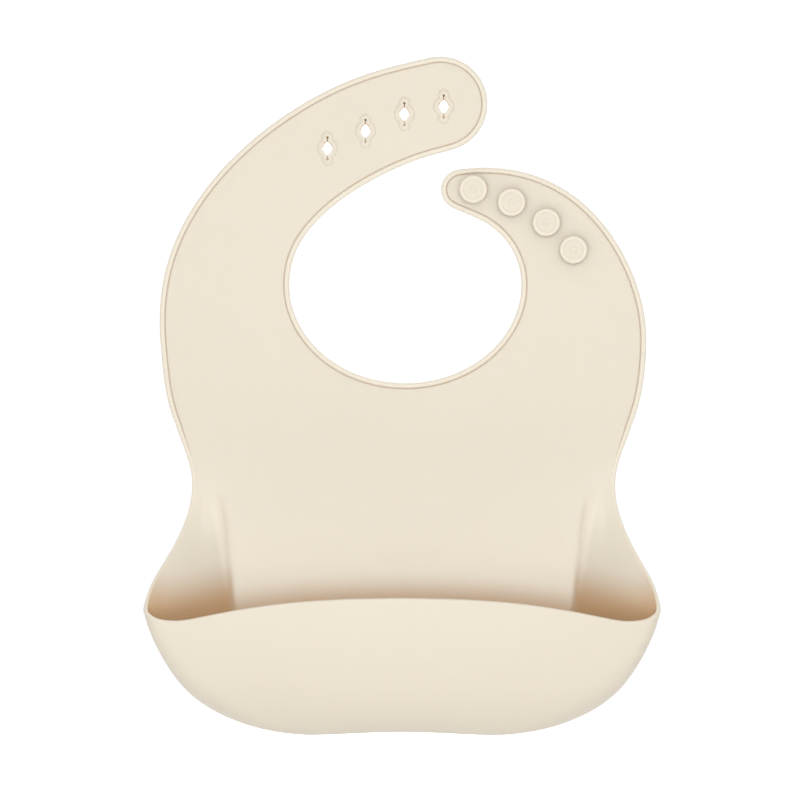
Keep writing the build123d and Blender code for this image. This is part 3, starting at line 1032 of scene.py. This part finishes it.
# --- studio -----------------------------------------------------------------------------
def studio_floor():
    """Flat pale floor, a little below the bib."""
    steps = np.linspace(-FLOOR_HALF_SIZE, FLOOR_HALF_SIZE, FLOOR_ROWS)
    points = [(x, y, cad_box[0].z - FLOOR_GAP) for y in steps for x in steps]
    corners = [0, 1, FLOOR_ROWS + 1, FLOOR_ROWS]
    faces = [[row * FLOOR_ROWS + column + corner for corner in corners]
             for row in range(FLOOR_ROWS - 1) for column in range(FLOOR_ROWS - 1)]
    mesh = bpy.data.meshes.new("floor")
    mesh.from_pydata(points, [], faces)
    mesh.shade_smooth()
    mesh.materials.append(paper("pale_paper", FLOOR_COLOUR))
    floor = bpy.data.objects.new("floor", mesh)
    bpy.context.scene.collection.objects.link(floor)


def studio_light():
    """Soft light from all round, with two lights in front of the bib and one behind it."""
    world = bpy.data.worlds.new("studio")
    world.use_nodes = True
    world.node_tree.nodes["Background"].inputs["Color"].default_value = (1.0, 1.0, 1.0, 1.0)
    world.node_tree.nodes["Background"].inputs["Strength"].default_value = WORLD_STRENGTH
    bpy.context.scene.world = world
    for name, place, aim, width, power in LIGHTS:
        light = bpy.data.lights.new(name, "AREA")
        light.size = width
        light.energy = power
        lamp = bpy.data.objects.new(name, light)
        lamp.location = place
        lamp.visible_camera = False
        lamp.rotation_euler = (Vector(aim) - Vector(place)).to_track_quat("-Z", "Y").to_euler()
        bpy.context.scene.collection.objects.link(lamp)
    bpy.context.scene.view_settings.view_transform = "Standard"
    bpy.context.scene.view_settings.look = "None"


def studio_camera():
    """Camera straight in front of the bib, turned very slightly round it."""
    turned = math.radians(CAMERA_TURN)
    camera_data = bpy.data.cameras.new("camera")
    camera_data.sensor_width = SENSOR_WIDTH
    camera_data.lens = SENSOR_WIDTH * CAMERA_DISTANCE / PICTURE_WIDTH
    camera_data.clip_start = 0.05
    camera_data.clip_end = 20.0
    camera = bpy.data.objects.new("camera", camera_data)
    aim_x, aim_z = CAMERA_AIM
    off_x, off_y = CAMERA_DISTANCE * math.sin(turned), -CAMERA_DISTANCE * math.cos(turned)
    camera.location = (aim_x + off_x, off_y, aim_z)
    camera.rotation_euler = (math.pi / 2, 0.0, turned)
    bpy.context.scene.collection.objects.link(camera)
    bpy.context.scene.camera = camera


# --- assembly ---------------------------------------------------------------------------
def across_strap(degrees, distance, length):
    """Both ends of a strap's bend, in metres: on its flex line, and on towards the strap's end."""
    line = np.array([NECK_X, 0.0]) + heading(degrees) * distance
    onwards = heading(degrees - 90 if degrees > 90 else degrees + 90)
    return [(x * MM, 0.0, z * MM) for x, z in (line, line + onwards * length)]


# Each piece: the bodies it bends between, the two ends of its bend, and the CAD nodes
# that it stands for.
RIDES = {
    CHEST: ("chest", "lower_bib", *[(0.0, 0.0, z * MM) for z in WAIST_BEND], ["chest_panel"]),
    POCKET: ("lower_bib", "pocket_wall", *[(0.0, y * MM, 0.0) for y in POCKET_BEND],
             ["pocket_back", "pocket_side_left", "pocket_side_right", "pocket_floor", "pocket_front"]),
    SHOULDER: ("chest", "hole_strap", *across_strap(*SHOULDER_BEND), ["hole_strap_shoulder"]),
    HOLE_STRAP: ("hole_strap", "hole_strap_tip", *across_strap(*CURL_BEND), ["hole_strap_end"]),
    BUTTON_STRAP: ("chest", "button_strap", *across_strap(*BUTTON_BEND), ["button_strap"]),
}


def main():
    bib_silicone = silicone("cream_silicone", CREAM, CREAM_CLOUD, CREAM_ROUGHNESS)
    button_silicone = silicone("button_silicone", BUTTON_CREAM, BUTTON_CLOUD, BUTTON_ROUGHNESS)
    moulding = Moulding()
    for label, name in enumerate(PIECES):
        points, faces, tones = moulding.piece(label)
        piece = make_piece("bib_" + name, points, faces, tones, bib_silicone)
        body, next_body, start, end, nodes = RIDES[label]
        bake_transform(piece)
        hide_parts(*nodes)
    for number, centre in enumerate(BUTTON_CENTRES, start=1):
        button(number, centre, button_silicone)
    studio_floor()
    studio_light()
    studio_camera()


main()
